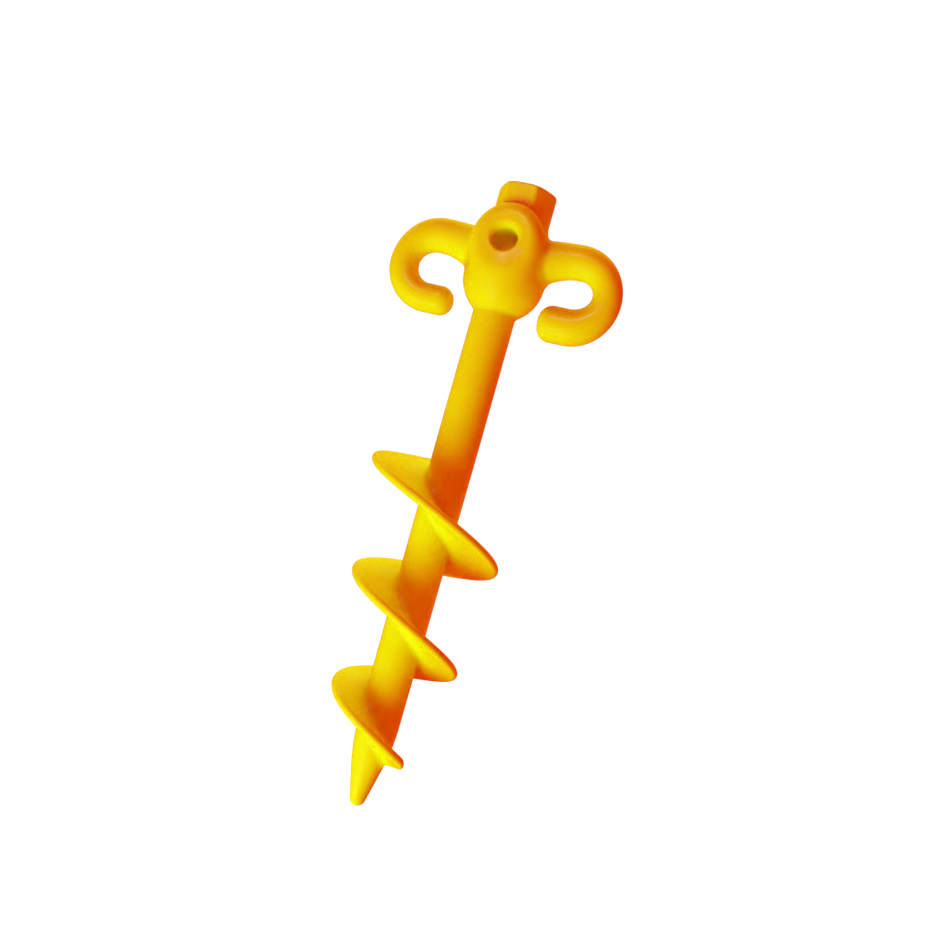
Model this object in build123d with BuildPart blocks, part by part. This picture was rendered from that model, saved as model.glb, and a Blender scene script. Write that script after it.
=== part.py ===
from build123d import *
from math import cos, radians, sin, sqrt, tan
import os

# Screw-in tent stake, one plastic moulding split at its feature lines.
# +Z runs up the stake from the tip at z = 0. The two hooks lie in the XZ plane, the cord hole runs
# along Y, and the front is -Y. All lengths are in millimetres.

# Driving dimensions
length = 200.0
hex_across_flats = 17.0
hex_edge = 0.8
hex_crown_radius = 8.2
hex_crown_slope = 0.8

boss_height = 179.5
boss_half_width = 11.8
boss_half_tall = 13.0
boss_half_length = 12.75
boss_rim = 4.5
eyelet_radius = 4.0
eyelet_mouth = 2.2

hub_height = 170.0
hub_radius = 13.1
hub_half_height = 13.5

hook_centre_x = 23.4
hook_centre_z = 169.6
hook_bow_radius = 10.6
hook_root_x = 2.0
hook_root_z = 172.0
hook_rise = 0.55
hook_tip_x = 14.6
hook_root_radius = 6.9
hook_top_radius = 5.7
hook_side_radius = 4.7
hook_tip_radius = 5.3
hook_sections = 24

shank_radius = 6.85
core_top = 118.0
core_foot = 19.0
core_foot_radius = 6.45
nose_radius = 2.6

flight_pitch = 34.4
flight_front_height = 93.4
flight_start = -205.0
flight_turns = (360.0, 360.0, 288.0)
flight_start_radius = 26.0
flight_end_radius = 15.9
flight_grow_angle = 140.0
flight_fade_angle = 26.0
flight_rim = 3.0
flight_step = 1.2
flight_root = 4.6
flight_lean = 10.0
flight_sections = 18

# Worked out from the driving dimensions
hub_foot = hub_height - hub_half_height * sqrt(1 - (shank_radius / hub_radius) ** 2)
flight_end = flight_start + sum(flight_turns)
core_slope = (shank_radius - core_foot_radius) / (core_top - core_foot)
core_tip_radius = core_foot_radius - core_slope * core_foot


def eyelet_barrel():
    """The oval barrel that carries the cord hole, without the hole. It also trims its neighbours."""
    with BuildPart() as barrel:
        with BuildSketch(Plane.XZ.offset(-boss_half_length)):
            with Locations((0, boss_height)):
                Ellipse(boss_half_width, boss_half_tall)
        extrude(amount=2 * boss_half_length)
        fillet(barrel.faces().filter_by(Axis.Y).edges(), boss_rim)
    return barrel.part


def hub_egg():
    """The egg-shaped hub before the barrel and the shank cut into it."""
    with BuildPart() as egg:
        with BuildSketch(Plane.XZ):
            with Locations((0, hub_height)):
                Ellipse(hub_radius, hub_half_height)
            with Locations((hub_radius, hub_height)):
                Rectangle(2 * hub_radius, 3 * hub_half_height, mode=Mode.INTERSECT)
        revolve(axis=Axis.Z)
    return egg.part


def core_cone():
    """The tapering core, carried on down to the tip so that it can trim the whole flight."""
    with BuildPart() as cone:
        with BuildSketch(Plane.XY):
            Circle(core_tip_radius)
        with BuildSketch(Plane.XY.offset(core_top)):
            Circle(shank_radius)
        loft()
    return cone.part


def flight_height(angle):
    """Height of the flight's middle on the stake's axis. The angle turns from the front to +X."""
    return flight_front_height - flight_pitch * angle / 360


def flight_radius(angle):
    """Radius of the flight's rim: it grows from a low step, tapers, and fades back at its end."""
    along = (angle - flight_start) / (flight_end - flight_start)
    full = flight_start_radius + (flight_end_radius - flight_start_radius) * along
    grown = min((angle - flight_start) / flight_grow_angle, 1)
    left = min((flight_end - angle) / flight_fade_angle, 1)
    share = sqrt(1 - (1 - grown) ** 2) * (1 - (1 - left) ** 2)
    least = shank_radius + flight_step
    return least + (full - least) * share


def flight_plane(angle):
    """Plane across the flight: x runs out along the blade and y runs up the stake."""
    turn = radians(angle)
    drop = tan(radians(flight_lean)) * sin(turn)
    return Plane(
        origin=(0, 0, flight_height(angle)),
        x_dir=(sin(turn), -cos(turn), -drop),
        z_dir=(-cos(turn), -sin(turn), 0),
    )


def blade_section(angle):
    """Section across the blade, thick at its root inside the core and round at the rim."""
    inner = 0.55 * core_foot_radius
    rim_radius = flight_radius(angle)
    outer = rim_radius - flight_rim / 2
    with BuildSketch(flight_plane(angle)) as section:
        with BuildLine():
            upper = Line((inner, flight_root / 2), (outer, flight_rim / 2))
            rim = ThreePointArc(upper @ 1, (rim_radius, 0), (outer, -flight_rim / 2))
            lower = Line(rim @ 1, (inner, -flight_root / 2))
            Line(lower @ 1, upper @ 0)
        make_face()
    return section.sketch.face()


def flight_angles(first, last):
    """Angles of the sections of one turn, with extra ones where the blade grows or fades."""
    step = (last - first) / flight_sections
    angles = [first + step * i for i in range(flight_sections + 1)]
    if last == flight_end:
        kept = [a for a in angles if a < flight_end - flight_fade_angle - step / 2]
        fade = [flight_end - flight_fade_angle * (1 - i / 4) for i in range(5)]
        return kept + fade
    return angles


def hook_radius(along):
    """Radius of the hook's bar: thick at the hub, thin at its side and fuller again at its end."""
    stations = (
        (0.0, hook_root_radius),
        (0.15, hook_root_radius),
        (0.35, hook_top_radius),
        (0.6, hook_side_radius),
        (0.85, hook_tip_radius),
        (1.0, hook_tip_radius),
    )
    for (start, first_radius), (end, last_radius) in zip(stations, stations[1:]):
        if along <= end:
            share = (along - start) / (end - start)
            blend = share * share * (3 - 2 * share)
            return first_radius + (last_radius - first_radius) * blend


barrel = eyelet_barrel()
egg = hub_egg()
cone = core_cone()

# Head: the hexagon, the eyelet barrel and the hub
with BuildPart() as hex_drive_head:
    with BuildSketch(Plane.XY.offset(boss_height)):
        RegularPolygon(hex_across_flats / 2, 6, major_radius=False, rotation=0)
    extrude(amount=length - boss_height)
    with Locations((0, 0, boss_height)):
        Cone(
            bottom_radius=hex_crown_radius + hex_crown_slope * (length - boss_height),
            top_radius=hex_crown_radius,
            height=length - boss_height,
            align=(Align.CENTER, Align.CENTER, Align.MIN),
            mode=Mode.INTERSECT,
        )
    fillet(hex_drive_head.edges().group_by(Axis.Z)[-1], hex_edge)
    add(barrel, mode=Mode.SUBTRACT)
hex_drive_head.part.label = "hex_drive_head"

with BuildPart() as eyelet_boss:
    add(barrel)
    with Locations(Plane(origin=(0, -boss_half_length, boss_height), z_dir=(0, -1, 0))):
        Hole(eyelet_radius)
    mouths = eyelet_boss.edges().filter_by(GeomType.CIRCLE)
    fillet(mouths.filter_by(lambda edge: abs(edge.radius - eyelet_radius) < 0.01), eyelet_mouth)
eyelet_boss.part.label = "eyelet_boss"

with BuildPart() as hub_body:
    add(egg)
    add(barrel, mode=Mode.SUBTRACT)
    split(bisect_by=Plane.XY.offset(hub_foot), keep=Keep.TOP)
hub_body.part.label = "hub_body"

# Hooks: a round bar of changing thickness that leaves the hub, bows over and turns back in
with BuildPart() as right_hook:
    with BuildLine(Plane.XZ) as route:
        bow = CenterArc((hook_centre_x, hook_centre_z), hook_bow_radius, 90, -180)
        arm = Spline((hook_root_x, hook_root_z), bow @ 0, tangents=[(1, hook_rise), (1, 0)])
        Line(bow @ 1, (hook_tip_x, hook_centre_z - hook_bow_radius))
    path = route.wires()[0]
    for i in range(hook_sections + 1):
        along = i / hook_sections
        with BuildSketch(Plane(origin=path @ along, x_dir=(0, 1, 0), z_dir=path % along)):
            Circle(hook_radius(along))
    loft()
    add(egg, mode=Mode.SUBTRACT)
    add(barrel, mode=Mode.SUBTRACT)
right_hook.part.label = "right_hook"

with BuildPart() as left_hook:
    mirror(right_hook.part, about=Plane.YZ)
left_hook.part.label = "left_hook"

# Shank: a plain cylinder, then the core that tapers to the point
with BuildPart() as shank_upper:
    with BuildSketch(Plane.XY.offset(core_top)):
        Circle(shank_radius)
    extrude(amount=hub_foot - core_top)
shank_upper.part.label = "shank_upper"

with BuildPart() as shank_lower:
    add(cone)
    split(bisect_by=Plane.XY.offset(core_foot), keep=Keep.TOP)
shank_lower.part.label = "shank_lower"

with BuildPart() as point:
    with BuildSketch(Plane.XZ):
        with BuildLine():
            nose = RadiusArc((0, 0), (nose_radius, nose_radius), -nose_radius)
            side = Line(nose @ 1, (core_foot_radius, core_foot))
            Polyline(side @ 1, (0, core_foot), (0, 0))
        make_face()
    revolve(axis=Axis.Z)
point.part.label = "point"

# Flight: one blade for each turn, lofted through sections round the core
flights = []
first = flight_start
for name, turn in zip(("flight_top", "flight_middle", "flight_bottom"), flight_turns):
    with BuildPart() as blade:
        loft([blade_section(angle) for angle in flight_angles(first, first + turn)])
        add(cone, mode=Mode.SUBTRACT)
    blade.part.label = name
    flights.append(blade.part)
    first += turn

pieces = [hex_drive_head.part, eyelet_boss.part, hub_body.part, left_hook.part, right_hook.part]
pieces += [shank_upper.part, shank_lower.part, *flights, point.part]
os.makedirs("parts", exist_ok=True)
for piece in pieces:
    export_step(piece, f"parts/{piece.label}.step")
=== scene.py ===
"""Screw-in tent stake: the looks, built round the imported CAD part.

The whole stake is described by distance functions, in millimetres: below zero inside the plastic, zero
on its skin. Each piece is the part of that one moulding that belongs to one CAD node, so the fillets run
smoothly from piece to piece. The frame is the CAD's: +Z up the stake, hooks in XZ, front is -Y.
"""
import math

import bpy
import numpy as np
from mathutils import Matrix, Vector


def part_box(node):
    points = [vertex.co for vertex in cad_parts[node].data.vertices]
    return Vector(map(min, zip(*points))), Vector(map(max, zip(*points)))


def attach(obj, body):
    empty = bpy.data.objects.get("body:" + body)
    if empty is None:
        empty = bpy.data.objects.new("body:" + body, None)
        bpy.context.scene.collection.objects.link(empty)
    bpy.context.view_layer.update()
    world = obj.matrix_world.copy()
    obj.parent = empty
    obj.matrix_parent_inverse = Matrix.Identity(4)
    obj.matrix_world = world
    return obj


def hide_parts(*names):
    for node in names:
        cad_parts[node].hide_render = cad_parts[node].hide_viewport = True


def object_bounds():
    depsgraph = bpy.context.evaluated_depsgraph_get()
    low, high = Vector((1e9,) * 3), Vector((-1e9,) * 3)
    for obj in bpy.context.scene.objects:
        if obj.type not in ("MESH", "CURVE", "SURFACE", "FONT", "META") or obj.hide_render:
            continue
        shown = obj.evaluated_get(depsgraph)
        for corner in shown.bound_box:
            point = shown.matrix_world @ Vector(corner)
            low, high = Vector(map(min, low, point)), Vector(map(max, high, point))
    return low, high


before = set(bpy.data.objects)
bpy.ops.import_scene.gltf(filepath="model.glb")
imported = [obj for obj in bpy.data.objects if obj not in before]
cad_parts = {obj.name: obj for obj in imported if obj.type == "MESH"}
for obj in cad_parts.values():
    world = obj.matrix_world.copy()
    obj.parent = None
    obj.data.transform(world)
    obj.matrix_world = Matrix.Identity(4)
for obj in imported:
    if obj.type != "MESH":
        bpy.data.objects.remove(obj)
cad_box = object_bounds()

MM = 0.001


def node_box(node):
    """Lowest and highest corner of a CAD node, in millimetres."""
    low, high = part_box(node)
    return np.array(low) / MM, np.array(high) / MM


_, hex_high = node_box("hex_drive_head")
boss_low, boss_high = node_box("eyelet_boss")
_, hub_high = node_box("hub_body")
_, shank_high = node_box("shank_upper")
_, core_high = node_box("shank_lower")
_, point_high = node_box("point")

# Sizes in millimetres. Those that a CAD node's box gives come from the frame.
hex_top = hex_high[2]
hex_apothem = hex_high[1]
hex_edge = 0.9
hex_corner = 1.5
crown_radius = 8.9
crown_slope = 0.8
crown_edge = 0.5

boss_height = (boss_low[2] + boss_high[2]) / 2
boss_half_tall = (boss_high[2] - boss_low[2]) / 2
boss_half_width = boss_high[0]
boss_half_length = boss_high[1]
boss_rim = 4.5
eyelet_radius = 4.0
eyelet_mouth_low = 0.8
eyelet_mouth_high = 2.6

hub_height = 170.0
hub_radius = hub_high[0]
hub_half_height = 13.5

bow_radius = 10.6
bow_height = 169.6
bow_centre = 23.4
arm_radius = 34.0
arm_turn = math.radians(42)
hook_tip = 14.6
hook_tip_edge = 4.2
right_swell = 0.55
bar_root = 6.9
bar_top = 5.7
bar_side = 4.7
bar_tip = 5.3

shank_radius = shank_high[0]
shank_bury = 5.0
core_top = core_high[2]
core_foot = point_high[2]
core_foot_radius = point_high[0]
nose_radius = 1.9
point_slope = 0.235
foot_soften = 1.6

flight_pitch = 34.4
flight_front_height = 93.4
flight_start = -205.0
flight_cuts = (155.0, 515.0)
flight_end = 803.0
flight_start_radius = 26.0
flight_end_radius = 15.9
flight_sink = 2.6
flight_inmost = 3.0
flight_grow = 140.0
flight_fade = 30.0
flight_rim_half = 1.45
flight_root_half = 1.9
flight_lean = math.tan(math.radians(10))

fillet_hub = 3.0
fillet_hook = 2.2
fillet_hex = 1.2
fillet_shank = 0.9
fillet_flight = 1.6

# Sides of the meshing grid's cells, and how far the grid reaches past a node's box
quick_scale = 1.0
head_step = 0.4 * quick_scale
screw_step = 0.5 * quick_scale
grid_margin = 2.5

# Ways to join distances


def join(a, b, radius):
    """Both solids together, with a round fillet where they meet."""
    return np.maximum(radius, np.minimum(a, b)) - np.hypot(
        np.maximum(radius - a, 0), np.maximum(radius - b, 0)
    )


def common(a, b, radius):
    """What both solids share, with a round edge where they meet."""
    return np.minimum(-radius, np.maximum(a, b)) + np.hypot(
        np.maximum(radius + a, 0), np.maximum(radius + b, 0)
    )


def soften(a, b, reach):
    """What both solids share, where they meet at a shallow angle."""
    near = np.maximum(reach - np.abs(a - b), 0) / reach
    return np.maximum(a, b) + near * near * reach / 4


def ease(share):
    """A share from 0 to 1 that starts and ends softly."""
    return share * share * (3 - 2 * share)


# The shapes, each a function of points given as x, y and z


def hexagon(x, y, z):
    """The drive hexagon: flats at +-Y, rounded corners and a coned crown."""
    cos30, tan30 = math.sqrt(3) / 2, 1 / math.sqrt(3)
    flat = hex_apothem - hex_corner
    u, v = np.abs(x), np.abs(y)
    fold = np.minimum(0.5 * v - cos30 * u, 0)
    u, v = u + 2 * cos30 * fold, v - fold
    sides = np.hypot(u - np.clip(u, -tan30 * flat, tan30 * flat), v - flat)
    sides = sides * np.sign(v - flat) - hex_corner
    out = np.hypot(x, y)
    depth = hex_top - z
    crown = (out - crown_radius - crown_slope * depth) / math.hypot(1, crown_slope)
    block = common(common(sides, crown, crown_edge), -depth, hex_edge)
    return np.maximum(block, boss_height - z)


def barrel(x, y, z):
    """The cord barrel along Y, with rounded rims and no hole yet."""
    oval = x * boss_half_tall / boss_half_width
    out = np.hypot(oval, z - boss_height) - (boss_half_tall - boss_rim)
    along = np.abs(y) - (boss_half_length - boss_rim)
    corner = np.hypot(np.maximum(out, 0), np.maximum(along, 0))
    return corner + np.minimum(np.maximum(out, along), 0) - boss_rim


def bore(x, z):
    """The cord hole, which runs along Y."""
    return np.hypot(x, z - boss_height) - eyelet_radius


def hub(x, y, z):
    """The egg-shaped hub, with its distance scaled to be true near the skin."""
    u, v, w = x / hub_radius, y / hub_radius, (z - hub_height) / hub_half_height
    near = np.sqrt(u * u + v * v + w * w) + 1e-9
    steep = np.sqrt((u * u + v * v) / hub_radius**2 + (w / hub_half_height) ** 2) + 1e-9
    return near * (near - 1) / steep


def bar_radius(along):
    """Radius of the hook's bar: thick at the hub, thin at its side and fuller again at its end."""
    stations = ((0.15, bar_root), (0.35, bar_top), (0.6, bar_side), (0.85, bar_tip))
    radius = np.full_like(along, bar_root)
    for (start, first), (end, last) in zip(stations, stations[1:]):
        radius += (last - first) * ease(np.clip((along - start) / (end - start), 0, 1))
    return radius


def arc(u, w, radius, first, last):
    """Distance to an arc in a plane, and the share of it passed at the nearest point."""
    middle = (first + last) / 2
    turn = (np.arctan2(w, u) - middle + math.pi) % (2 * math.pi) - math.pi
    turn = np.clip(turn, min(first, last) - middle, max(first, last) - middle)
    share = (turn + middle - first) / (last - first)
    turn = turn + middle
    return np.hypot(u - radius * np.cos(turn), w - radius * np.sin(turn)), share


def hook(x, y, z):
    """Both hooks: an arm out of the hub, a round bow and a straight end with a soft blunt tip."""
    swell = right_swell * np.sign(x)
    x = np.abs(x)
    arm_length = arm_radius * arm_turn
    bow_length = math.pi * bow_radius
    end_length = bow_centre - hook_tip
    length = arm_length + bow_length + end_length

    top = math.pi / 2
    arm_height = bow_height + bow_radius - arm_radius
    off, share = arc(x - bow_centre, z - arm_height, arm_radius, top + arm_turn, top)
    arm = np.hypot(off, y) - bar_radius(share * arm_length / length)

    off, share = arc(x - bow_centre, z - bow_height, bow_radius, top, -top)
    bow = np.hypot(off, y) - bar_radius((arm_length + share * bow_length) / length)
    bow = bow - swell * ease(np.clip(2 * share - 1, 0, 1))

    passed = np.clip(bow_centre - x, 0, end_length + hook_tip_edge)
    off = np.hypot(x - bow_centre + passed, z - bow_height + bow_radius)
    end = np.hypot(off, y) - bar_radius((arm_length + bow_length + passed) / length)
    end = common(end - swell, hook_tip - x, hook_tip_edge)
    return np.minimum(np.minimum(arm, bow), end)


def core(x, y, z):
    """The shank: a plain bar, a slow taper below it, and the point with its round nose."""
    out = np.hypot(x, y)
    taper = (shank_radius - core_foot_radius) / (core_top - core_foot)
    bar = out - shank_radius + taper * np.maximum(core_top - z, 0)
    cone = (out - core_foot_radius - point_slope * (z - core_foot)) / math.hypot(1, point_slope)
    body = common(soften(bar, cone, foot_soften), -z, nose_radius)
    return np.maximum(body, z - hub_height + shank_bury)


def flight_turn(x, y, z):
    """Angle along the flight at the turn nearest to each point, the front being 0 and +X 90."""
    around = np.degrees(np.arctan2(x, -y))
    middle = flight_front_height - flight_pitch * around / 360 - flight_lean * x
    turns = np.round((middle - z) / flight_pitch)
    low, high = np.floor((flight_start + 180) / 360), np.ceil((flight_end - 180) / 360)
    return around + 360 * np.clip(turns, low, high)


def flight_radius(turn, buried):
    """Radius of the rim: it grows out of the shank, tapers down the stake and fades back in."""
    along = np.clip((turn - flight_start) / (flight_end - flight_start), 0, 1)
    full = flight_start_radius + (flight_end_radius - flight_start_radius) * along
    grown = np.clip((turn - flight_start) / flight_grow, 0, 1)
    left = np.clip((flight_end - turn) / flight_fade, 0, 1)
    share = np.sqrt(1 - (1 - grown) ** 2) * (1 - (1 - left) ** 2)
    return buried + (full - buried) * share


def flight(x, y, z):
    """The helical blade, thicker at its root, with a round rim."""
    buried = np.hypot(x, y) - core(x, y, z) - flight_sink
    out = np.maximum(np.hypot(x, y), flight_inmost)
    turn = flight_turn(x, y, z)
    middle = flight_front_height - flight_pitch * turn / 360 - flight_lean * x
    climb = flight_pitch / (2 * math.pi) / out - flight_lean * y / out
    steepness = np.sqrt(1 + climb**2 + (flight_lean * x / out) ** 2)
    up = np.abs(z - middle) / steepness
    inward = flight_radius(turn, buried) - flight_rim_half - out
    share = np.clip(inward / (flight_start_radius - core_foot_radius), 0, 1)
    blade = up - flight_rim_half - (flight_root_half - flight_rim_half) * share
    rim = np.hypot(inward, up) - flight_rim_half
    return np.where(inward > 0, blade, rim)


# The two ends of the stake, each as its named parts and its whole skin. Where two parts overlap, the
# one named first keeps the plastic.


def head_parts(x, y, z):
    """The parts of the head, in order of ownership."""
    both_hooks = hook(x, y, z)
    return {
        "eyelet_boss": barrel(x, y, z),
        "hub_body": hub(x, y, z),
        "shank": core(x, y, z),
        "right_hook": np.maximum(both_hooks, -x),
        "left_hook": np.maximum(both_hooks, x),
        "hex_drive_head": hexagon(x, y, z),
    }


def head_skin(parts, x, y, z):
    """The head with its fillets and its cord hole, whose lip is wider above than below."""
    hooks = np.minimum(parts["left_hook"], parts["right_hook"])
    skin = join(parts["eyelet_boss"], parts["hub_body"], fillet_hub)
    skin = join(skin, hooks, fillet_hook)
    skin = join(skin, parts["hex_drive_head"], fillet_hex)
    skin = join(skin, parts["shank"], fillet_shank)
    raised = ease(np.clip(0.5 + (z - boss_height) / (2 * eyelet_radius), 0, 1))
    mouth = eyelet_mouth_low + (eyelet_mouth_high - eyelet_mouth_low) * raised
    return common(skin, -bore(x, z), mouth)


def screw_parts(x, y, z):
    """The parts of the screw, in order of ownership."""
    return {"shank": core(x, y, z), "flight": flight(x, y, z)}


def screw_skin(parts, x, y, z):
    """The screw with a fillet along the root of the flight."""
    return join(parts["shank"], parts["flight"], fillet_flight)


def ownership(parts, name):
    """Below zero where this part owns the plastic."""
    own, earlier, worst = parts[name], True, None
    for other, distance in parts.items():
        if other == name:
            earlier = False
            continue
        lead = np.maximum(own, 0) - distance if earlier else own - np.maximum(distance, 0)
        worst = lead if worst is None else np.maximum(worst, lead)
    return worst


# Meshing


class Piece:
    """One piece of the moulding: the plastic that its part owns, inside its limits."""

    def __init__(self, node, parts, skin, part, limits=()):
        self.node, self.parts, self.skin_of, self.part = node, parts, skin, part
        self.limits = limits

    def fields(self, points):
        """Distance to the moulding's skin, and to the cuts that part this piece from the rest."""
        x, y, z = points.T
        parts = self.parts(x, y, z)
        cut = ownership(parts, self.part)
        for limit in self.limits:
            cut = np.maximum(cut, limit(x, y, z))
        return self.skin_of(parts, x, y, z), cut


def gradients(piece, points, reach=0.01):
    """Gradient of the skin's and of the cut's distance at each point."""
    slopes = []
    for axis in np.eye(3) * reach:
        ahead, behind = piece.fields(points + axis), piece.fields(points - axis)
        slopes.append([(a - b) / (2 * reach) for a, b in zip(ahead, behind)])
    return [np.stack([slope[i] for slope in slopes], 1) for i in range(2)]


def settle(piece, points, on_skin, on_cut, step, rounds=4):
    """Moves the vertices onto the skin, onto the cuts, or onto the line where the two meet."""
    for _ in range(rounds):
        offs = np.stack(piece.fields(points), 1)
        slopes = np.stack(gradients(piece, points), 1)
        offs[~on_skin, 0], slopes[~on_skin, 0] = 0, 0
        offs[~on_cut, 1], slopes[~on_cut, 1] = 0, 0
        square = np.einsum("nik,njk->nij", slopes, slopes) + np.eye(2) * 1e-3
        pull = np.linalg.solve(square, offs[:, :, None])[:, :, 0]
        move = np.einsum("ni,nik->nk", pull, slopes)
        size = np.linalg.norm(move, axis=1, keepdims=True)
        points = points - move * np.minimum(1, 0.5 * step / np.maximum(size, 1e-9))
    return points


def surface_net(piece, step):
    """Vertices and quads round a piece, one vertex in each grid cell that its surface crosses."""
    low, high = node_box(piece.node)
    low, high = low - grid_margin, high + grid_margin
    shape = np.ceil((high - low) / step).astype(int) + 1
    axes = [low[i] + step * np.arange(shape[i]) for i in range(3)]
    grid = np.stack(np.meshgrid(*axes, indexing="ij"), -1).reshape(-1, 3)
    skin, cut = (field.reshape(shape) for field in piece.fields(grid))
    value = np.maximum(skin, cut)

    def straddled(field):
        """The cells that have corners on both sides of the field's zero."""
        inside = sum(
            (field[i: shape[0] - 1 + i, j: shape[1] - 1 + j, k: shape[2] - 1 + k] < 0).astype(int)
            for i, j, k in np.ndindex(2, 2, 2)
        )
        return (inside > 0) & (inside < 8)

    cells = np.argwhere(straddled(value))
    number = np.full(shape, -1)
    number[tuple(cells.T)] = np.arange(len(cells))

    total, hits = np.zeros((len(cells), 3)), np.zeros((len(cells), 1))
    for axis in range(3):
        ahead = np.eye(3, dtype=int)[axis]
        for side in np.ndindex(2, 2):
            start = cells + np.insert(side, axis, 0)
            a, b = value[tuple(start.T)], value[tuple((start + ahead).T)]
            crossed = ((a < 0) != (b < 0))[:, None]
            share = np.divide(a, a - b, out=np.zeros_like(a), where=crossed[:, 0])
            total += crossed * (start + share[:, None] * ahead)
            hits += crossed
    points = low + step * total / hits

    quads = []
    for axis in range(3):
        ahead, left, right = np.roll(np.eye(3, dtype=int), -axis, axis=0)
        nodes = np.argwhere((value[1:-1, 1:-1, 1:-1] < 0) != (value[
            1 + ahead[0]: shape[0] - 1 + ahead[0],
            1 + ahead[1]: shape[1] - 1 + ahead[1],
            1 + ahead[2]: shape[2] - 1 + ahead[2],
        ] < 0)) + 1
        ring = [nodes, nodes - left, nodes - left - right, nodes - right]
        quad = np.stack([number[tuple(corner.T)] for corner in ring], 1)
        leaving = value[tuple(nodes.T)] < 0
        quad[~leaving] = quad[~leaving, ::-1]
        quads.append(quad)
    on_skin, on_cut = (straddled(field)[tuple(cells.T)] for field in (skin, cut))
    points = settle(piece, points, on_skin, on_cut, step)
    return points, np.concatenate(quads)


def build_mesh(piece, step):
    """A closed mesh of one piece, shaded with the moulding's own normals so that no seam shows."""
    points, quads = surface_net(piece, step)
    centre_skin, centre_cut = piece.fields(points[quads].mean(1))
    shown = centre_skin > centre_cut
    smooth, _ = gradients(piece, points)
    smooth /= np.linalg.norm(smooth, axis=1, keepdims=True)
    corners = points[quads]
    across = np.cross(corners[:, 2] - corners[:, 0], corners[:, 3] - corners[:, 1])
    across /= np.maximum(np.linalg.norm(across, axis=1, keepdims=True), 1e-12)
    normals = np.where(shown[:, None, None], smooth[quads], across[:, None, :])

    mesh = bpy.data.meshes.new(piece.node + "_mesh")
    mesh.vertices.add(len(points))
    mesh.vertices.foreach_set("co", (points * MM).ravel())
    mesh.loops.add(quads.size)
    mesh.loops.foreach_set("vertex_index", quads.ravel())
    mesh.polygons.add(len(quads))
    mesh.polygons.foreach_set("loop_start", np.arange(0, quads.size, 4))
    mesh.polygons.foreach_set("use_smooth", np.ones(len(quads), bool))
    mesh.update(calc_edges=True)
    mesh.normals_split_custom_set(normals.reshape(-1, 3))
    return mesh


def add_piece(piece, step, material):
    """Adds one piece to the scene in place of its CAD node."""
    obj = bpy.data.objects.new("moulded_" + piece.node, build_mesh(piece, step))
    bpy.context.scene.collection.objects.link(obj)
    obj.data.materials.append(material)
    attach(obj, "root")
    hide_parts(piece.node)


# The pieces


def past_turn(cut):
    """A limit that keeps what comes after this angle along the flight."""
    return lambda x, y, z: np.radians(cut - flight_turn(x, y, z)) * np.hypot(x, y)


def before_turn(cut):
    """A limit that keeps what comes before this angle along the flight."""
    return lambda x, y, z: np.radians(flight_turn(x, y, z) - cut) * np.hypot(x, y)


def above(height):
    """A limit that keeps what is above this height."""
    return lambda x, y, z: height - z


def below(height):
    """A limit that keeps what is below this height."""
    return lambda x, y, z: z - height


def head_pieces():
    """The pieces of the head, and the plain shank under it."""
    names = ("hex_drive_head", "eyelet_boss", "hub_body", "left_hook", "right_hook")
    pieces = [Piece(name, head_parts, head_skin, name) for name in names]
    pieces.append(Piece("shank_upper", head_parts, head_skin, "shank", (above(core_top),)))
    return pieces


def screw_pieces():
    """The tapering core, the point and the three turns of the flight."""
    def screw(name, part, *limits):
        return Piece(name, screw_parts, screw_skin, part, limits)

    first, second = flight_cuts
    return [
        screw("shank_lower", "shank", above(core_foot), below(core_top)),
        screw("point", "shank", below(core_foot)),
        screw("flight_top", "flight", before_turn(first)),
        screw("flight_middle", "flight", past_turn(first), before_turn(second)),
        screw("flight_bottom", "flight", past_turn(second)),
    ]


# The material


def add_node(tree, kind, inputs=(), **settings):
    """Adds a shader node, sets its plain settings, and links or sets its inputs."""
    made = tree.nodes.new(kind)
    for name, value in settings.items():
        setattr(made, name, value)
    for name, value in dict(inputs).items():
        if isinstance(value, bpy.types.NodeSocket):
            tree.links.new(value, made.inputs[name])
        else:
            made.inputs[name].default_value = value
    return made


def noise(tree, where, scale, detail):
    """Noise with this many cells to the metre, mostly between 0.3 and 0.7."""
    made = add_node(tree, "ShaderNodeTexNoise", {"Vector": where, "Scale": scale, "Detail": detail})
    return made.outputs["Fac"]


def ramp(tree, value, low, high, first=0.0, last=1.0):
    """Maps low to first and high to last, and holds the value beyond them."""
    limits = {"From Min": low, "From Max": high, "To Min": first, "To Max": last}
    return add_node(tree, "ShaderNodeMapRange", {"Value": value, **limits}).outputs["Result"]


def product(tree, a, b):
    """Two values multiplied."""
    made = add_node(tree, "ShaderNodeMath", {0: a, 1: b}, operation="MULTIPLY")
    return made.outputs["Value"]


def edge_wear_and_sheen(tree, where):
    """Share of wear and of painted sheen: patches along the convex edges, from 0 to 1."""
    convex = add_node(tree, "ShaderNodeNewGeometry").outputs["Pointiness"]
    edges = ramp(tree, convex, 0.53, 0.62)
    patches = ramp(tree, noise(tree, where, 140.0, 5.0), 0.42, 0.62)
    return product(tree, edges, patches)


def scuffs(tree, where):
    """Short fine scratches along the stake, from 0 to 1."""
    drawn_out = add_node(tree, "ShaderNodeMapping", {"Vector": where, "Scale": (1.0, 1.0, 0.06)})
    return ramp(tree, noise(tree, drawn_out.outputs["Vector"], 2200.0, 1.0), 0.66, 0.74)


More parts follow.
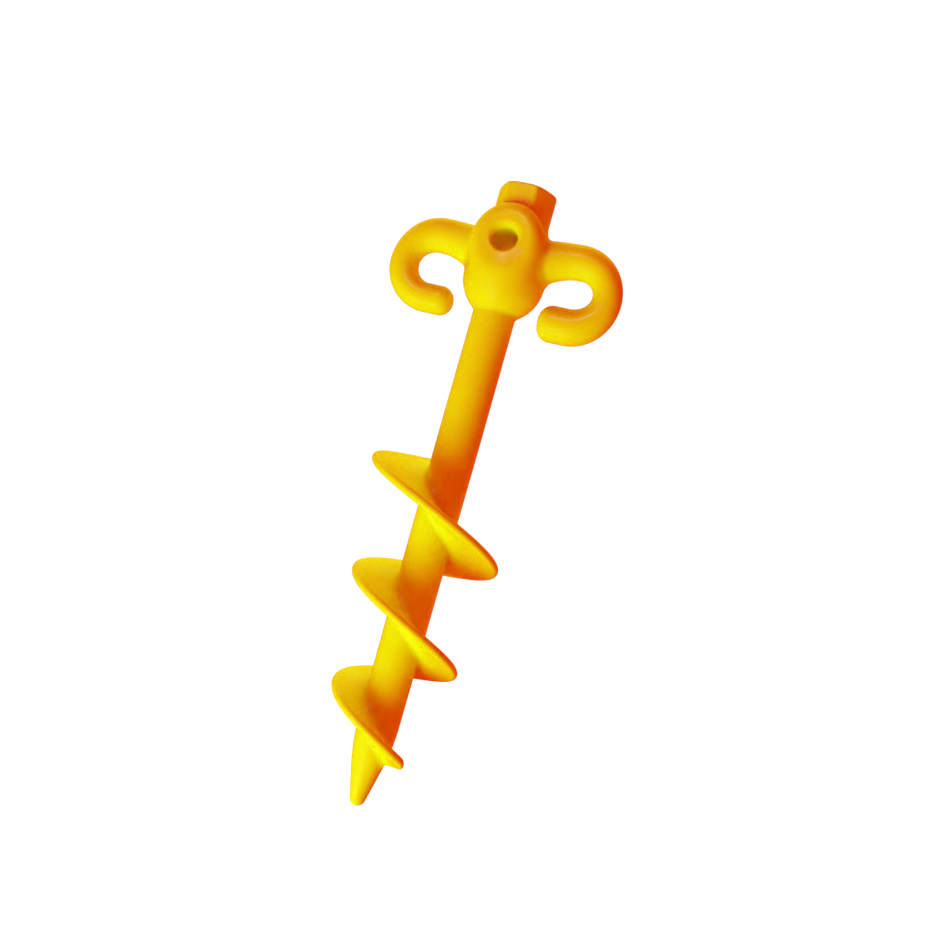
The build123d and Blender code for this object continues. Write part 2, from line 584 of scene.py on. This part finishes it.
def plastic_colour(tree, where, worn_and_sheen_share):
    """Slightly cloudy yellow, painted paler along the convex edges, partly as wear and partly as painted
    sheen.
    """
    clouds = add_node(tree, "ShaderNodeValToRGB", {"Fac": noise(tree, where, 55.0, 3.0)})
    first, last = clouds.color_ramp.elements
    first.position, first.color = 0.3, (0.85, 0.66, 0.004, 1)
    last.position, last.color = 0.7, (0.88, 0.72, 0.006, 1)
    # Painted sheen and wear: the convex edges are mixed towards a paler yellow.
    share = product(tree, worn_and_sheen_share, 0.45)
    mixed = add_node(tree, "ShaderNodeMix", {"Factor": share}, data_type="RGBA")
    tree.links.new(clouds.outputs["Color"], mixed.inputs["A"])
    mixed.inputs["B"].default_value = (0.93, 0.84, 0.12, 1)
    return mixed.outputs["Result"]


def plastic_roughness(tree, where, worn_and_sheen_share, scratches):
    """A soft gloss, duller where worn or scratched."""
    rough = ramp(tree, noise(tree, where, 240.0, 4.0), 0.3, 0.7, 0.21, 0.29)
    for mark, added in ((worn_and_sheen_share, 0.2), (scratches, 0.06)):
        step = add_node(tree, "ShaderNodeMath", {0: mark, 1: added, 2: rough}, operation="MULTIPLY_ADD")
        rough = step.outputs["Value"]
    return rough


def plastic_normal(tree, where):
    """Bumps for the fine mould grain and the plastic's slow flow."""
    normal = None
    for height, strength, depth in (
        (noise(tree, where, 1500.0, 2.0), 0.05, 0.0002),
        (noise(tree, where, 130.0, 2.0), 0.10, 0.001),
    ):
        inputs = {"Height": height, "Strength": strength, "Distance": depth}
        if normal is not None:
            inputs["Normal"] = normal
        normal = add_node(tree, "ShaderNodeBump", inputs).outputs["Normal"]
    return normal


def moulded_plastic():
    """Glossy yellow moulded plastic, with light scratches and with edges painted paler, partly as wear
    and partly as painted sheen.
    """
    material = bpy.data.materials.new("stake_plastic")
    material.use_nodes = True
    tree = material.node_tree
    shader = tree.nodes["Principled BSDF"]
    where = add_node(tree, "ShaderNodeTexCoord").outputs["Object"]
    worn_and_sheen_share, scratches = edge_wear_and_sheen(tree, where), scuffs(tree, where)
    tree.links.new(plastic_colour(tree, where, worn_and_sheen_share), shader.inputs["Base Color"])
    tree.links.new(plastic_roughness(tree, where, worn_and_sheen_share, scratches), shader.inputs["Roughness"])
    tree.links.new(plastic_normal(tree, where), shader.inputs["Normal"])
    shader.inputs["IOR"].default_value = 1.49
    shader.inputs["Subsurface Weight"].default_value = 0.15
    shader.inputs["Subsurface Radius"].default_value = (1.0, 0.35, 0.05)
    shader.inputs["Subsurface Scale"].default_value = 0.0015
    return material


# The studio, in metres

floor_height = -0.5
floor_radius = 30.0
seen_white = (1.05, 1.05, 1.05, 1)
warm_shade = (0.76, 0.055, 0.004)
key_colour = (0.28, 1.0, 0.3)
back_colour = (1.0, 0.35, 0.05)
stake_middle = (cad_box[0] + cad_box[1]) / 2


def pale_floor():
    """A plain pale floor well under the stake. It sends no light back onto the stake."""
    bpy.ops.mesh.primitive_circle_add(
        vertices=96, radius=floor_radius, fill_type="NGON", location=(0, 0, floor_height)
    )
    floor = bpy.context.object
    floor.name = "studio_floor"
    material = bpy.data.materials.new("studio_floor")
    material.use_nodes = True
    shader = material.node_tree.nodes["Principled BSDF"]
    shader.inputs["Base Color"].default_value = (0.92, 0.92, 0.92, 1)
    shader.inputs["Roughness"].default_value = 0.9
    floor.data.materials.append(material)
    floor.visible_diffuse = False
    floor.visible_glossy = False
    return floor


def direction(azimuth, elevation):
    """Unit vector from the stake towards a place; azimuth 0 is the front, 90 is +X, in degrees."""
    a, e = math.radians(azimuth), math.radians(elevation)
    return Vector((math.sin(a) * math.cos(e), -math.cos(a) * math.cos(e), math.sin(e)))


def area_light(name, azimuth, elevation, distance, size, power, colour=(1, 1, 1)):
    """A soft square light that faces the middle of the stake."""
    data = bpy.data.lights.new(name, "AREA")
    data.energy, data.size, data.color = power, size, colour
    light = bpy.data.objects.new(name, data)
    towards = direction(azimuth, elevation)
    light.location = stake_middle + towards * distance
    light.rotation_mode = "QUATERNION"
    light.rotation_quaternion = towards.to_track_quat("Z", "Y")
    light.visible_camera = False
    bpy.context.scene.collection.objects.link(light)
    return light


def studio_world(colour):
    """White to look at, and an even, dim, warm light on the stake."""
    world = bpy.data.worlds.new("studio_world")
    bpy.context.scene.world = world
    world.use_nodes = True
    tree = world.node_tree
    seen = add_node(tree, "ShaderNodeLightPath").outputs["Is Camera Ray"]
    mixed = add_node(tree, "ShaderNodeMix", {"Factor": seen}, data_type="RGBA")
    mixed.inputs["A"].default_value = (*colour, 1)
    mixed.inputs["B"].default_value = seen_white
    tree.links.new(mixed.outputs["Result"], tree.nodes["Background"].inputs["Color"])


def floor_sun(floor):
    """A broad sun that lights the floor alone, so that it stays white."""
    data = bpy.data.lights.new("floor_sun", "SUN")
    data.energy, data.angle = 4.0, math.radians(40)
    sun = bpy.data.objects.new("floor_sun", data)
    bpy.context.scene.collection.objects.link(sun)
    receivers = bpy.data.collections.new("lit_by_floor_sun")
    receivers.objects.link(floor)
    sun.light_linking.receiver_collection = receivers


def studio_camera():
    """The camera, rolled so that the stake's top leans to the right in the picture."""
    azimuth, elevation, roll = 15.5, -6.2, math.radians(15.7)
    distance, aside, aim_height = 0.421, 0.00815, 0.1051
    lens, sensor = 51.0, 36.0
    back = direction(azimuth, elevation)
    level = Vector((0, 0, 1)).cross(back).normalized()
    upright = back.cross(level)
    right = math.cos(roll) * level + math.sin(roll) * upright
    up = math.cos(roll) * upright - math.sin(roll) * level
    data = bpy.data.cameras.new("studio_camera")
    data.lens, data.sensor_width = lens, sensor
    data.clip_start, data.clip_end = 0.01, 100
    camera = bpy.data.objects.new("studio_camera", data)
    place = Vector((0, 0, aim_height)) + right * aside + back * distance
    turned = Matrix((right, up, back)).transposed().to_4x4()
    camera.matrix_world = Matrix.Translation(place) @ turned
    bpy.context.scene.collection.objects.link(camera)
    bpy.context.scene.camera = camera


def studio_lights():
    """Soft light from low at the front and from high behind, a warm rim, and a small highlight."""
    key_low = area_light("key_low", -29, -47, distance=0.7, size=0.5, power=9.0, colour=key_colour)
    key_top = area_light("key_top", -140, 60, distance=0.8, size=0.6, power=12.0, colour=key_colour)
    back = area_light("back", 165, 5, distance=0.9, size=0.6, power=5.0, colour=back_colour)
    for light in (key_low, key_top, back):
        light.visible_glossy = False
    sparkle = area_light("sparkle", -12, 34, distance=0.9, size=0.07, power=0.22)
    sparkle.visible_diffuse = False


plastic = moulded_plastic()
for piece in head_pieces():
    add_piece(piece, head_step, plastic)
for piece in screw_pieces():
    add_piece(piece, screw_step, plastic)

bpy.context.scene.view_settings.view_transform = "Standard"
studio_world(warm_shade)
floor_sun(pale_floor())
studio_lights()
studio_camera()
